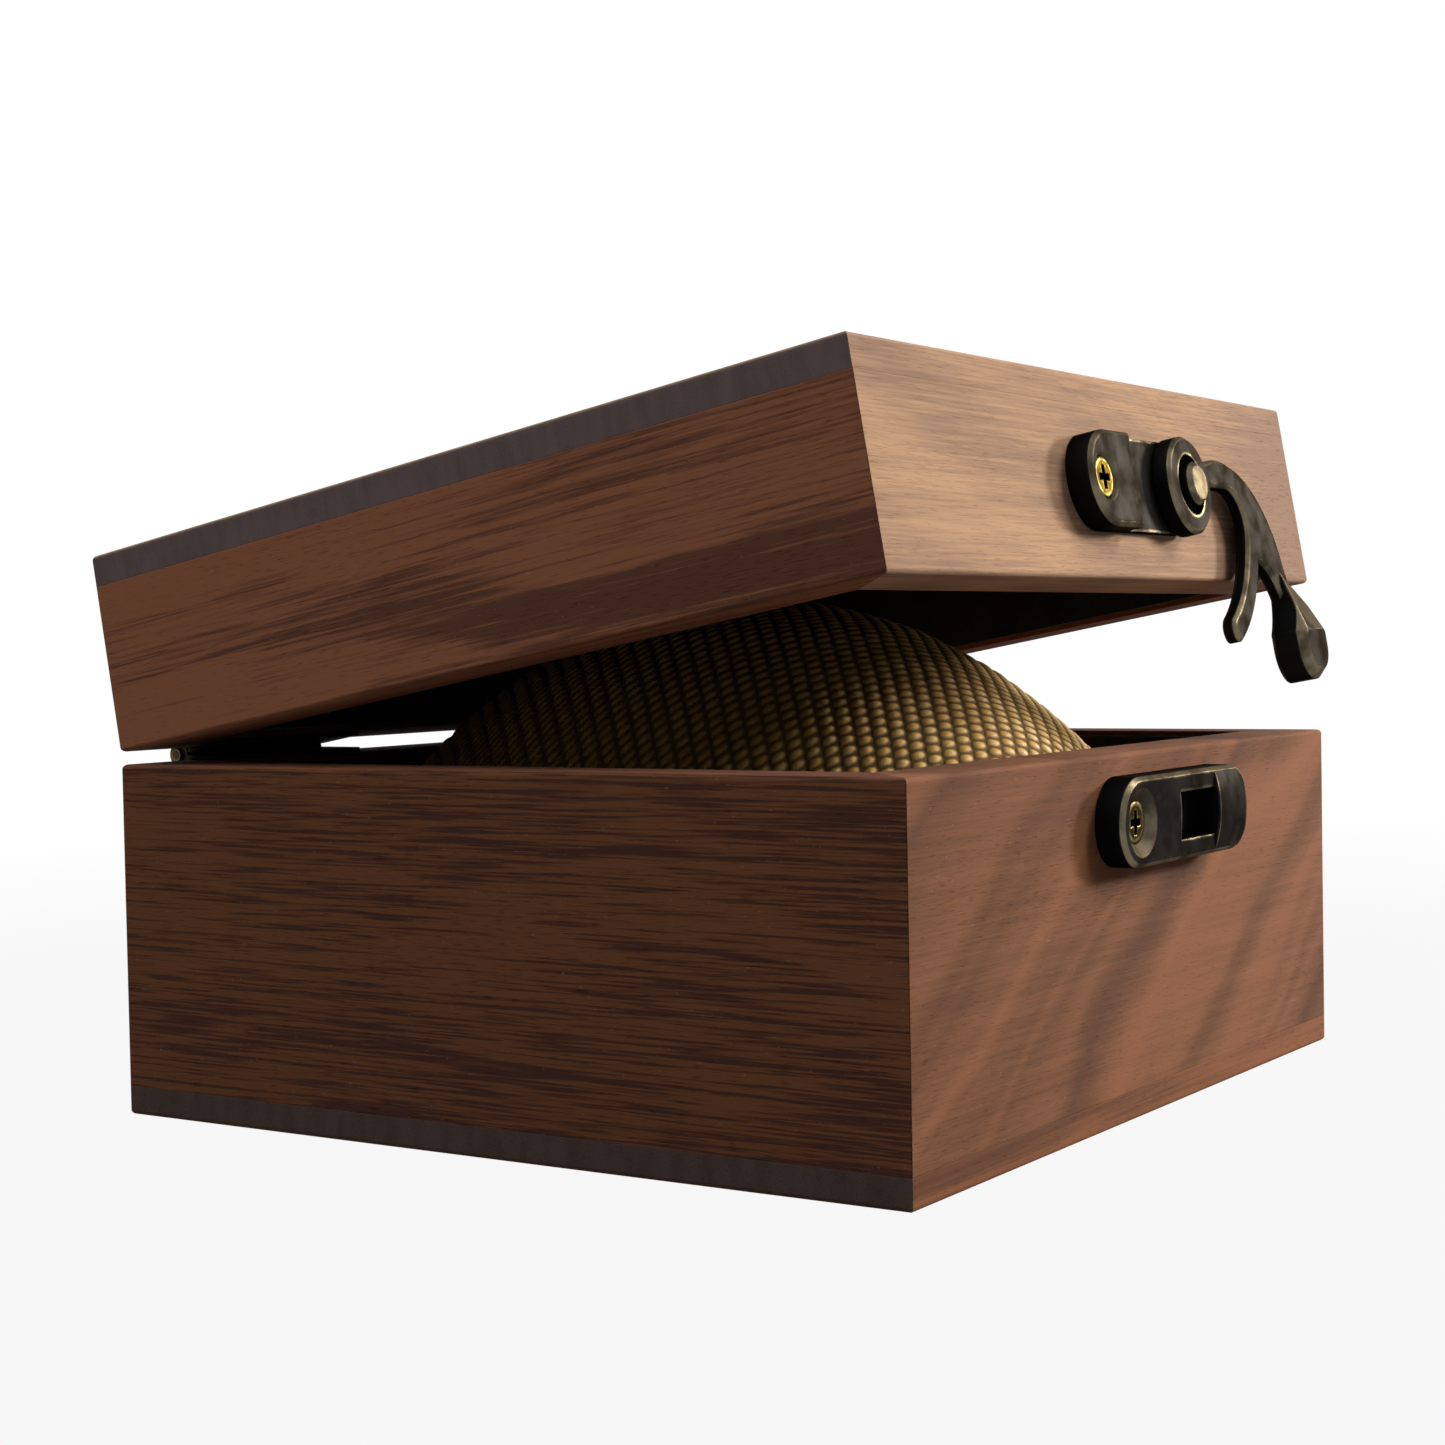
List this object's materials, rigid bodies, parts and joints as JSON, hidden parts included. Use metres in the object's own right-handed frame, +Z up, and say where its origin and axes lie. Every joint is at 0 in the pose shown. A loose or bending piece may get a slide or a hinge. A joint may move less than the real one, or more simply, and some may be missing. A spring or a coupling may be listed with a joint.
{
  "type": "watch box",
  "caption": "Wooden watch box with a hinged lid that stands ajar, a woven pillow that fills the lined inside, and a swing hook at the front that turns into a catch.",
  "frame": {"origin": "centre of the base's underside", "axes": "+X to the right seen from the front, +Y to the hinges at the back, +Z up; the latch is on the -Y side"},
  "size_m": [0.1, 0.1017, 0.0742],
  "materials": {
    "base_wood": "satin varnish",
    "lid_wood": "satin varnish",
    "board_wood": "satin varnish",
    "lining": "black velvet",
    "pillow": "woven golden tan cloth",
    "bronze": "antique bronze, worn on the edges",
    "brass": "plain brass"
  },
  "bodies": {
    "base": {"base_bottom_board": "board_wood", "base_front_wall": "base_wood", "base_right_wall": "base_wood", "base_back_wall": "base_wood", "base_left_wall": "base_wood", "base_floor_lining": "lining", "base_front_lining": "lining", "base_back_lining": "lining", "base_left_lining": "lining", "base_right_lining": "lining", "watch_pillow": "pillow", "latch_catch": "bronze", "catch_screw": "brass", "left_hinge_base_leaf": "brass", "right_hinge_base_leaf": "brass", "left_hinge_pin": "brass", "right_hinge_pin": "brass", "hinge_base_screws": "brass"},
    "lid": {"lid_top_board": "board_wood", "lid_front_wall": "lid_wood", "lid_right_wall": "lid_wood", "lid_back_wall": "lid_wood", "lid_left_wall": "lid_wood", "lid_ceiling_lining": "lining", "lid_front_lining": "lining", "lid_back_lining": "lining", "lid_left_lining": "lining", "lid_right_lining": "lining", "latch_plate": "bronze", "latch_plate_screw": "brass", "latch_rivet": "bronze", "left_hinge_lid_leaf": "brass", "right_hinge_lid_leaf": "brass", "hinge_lid_screws": "brass"},
    "hook": {"latch_hook": "bronze"}
  },
  "joints": [
    {"name": "lid_hinge", "type": "hinge", "parent": "base", "child": "lid", "pos_m": [0, 0.048, 0.0371], "axis": [-1, 0, 0], "range_deg": [-9.85, 170]},
    {"name": "hook_swing", "type": "hinge", "parent": "lid", "child": "hook", "pos_m": [0.0124, -0.0434, 0.06312], "axis": [0, -0.9853, 0.1711], "range_deg": [-38, 100]}
  ]
}
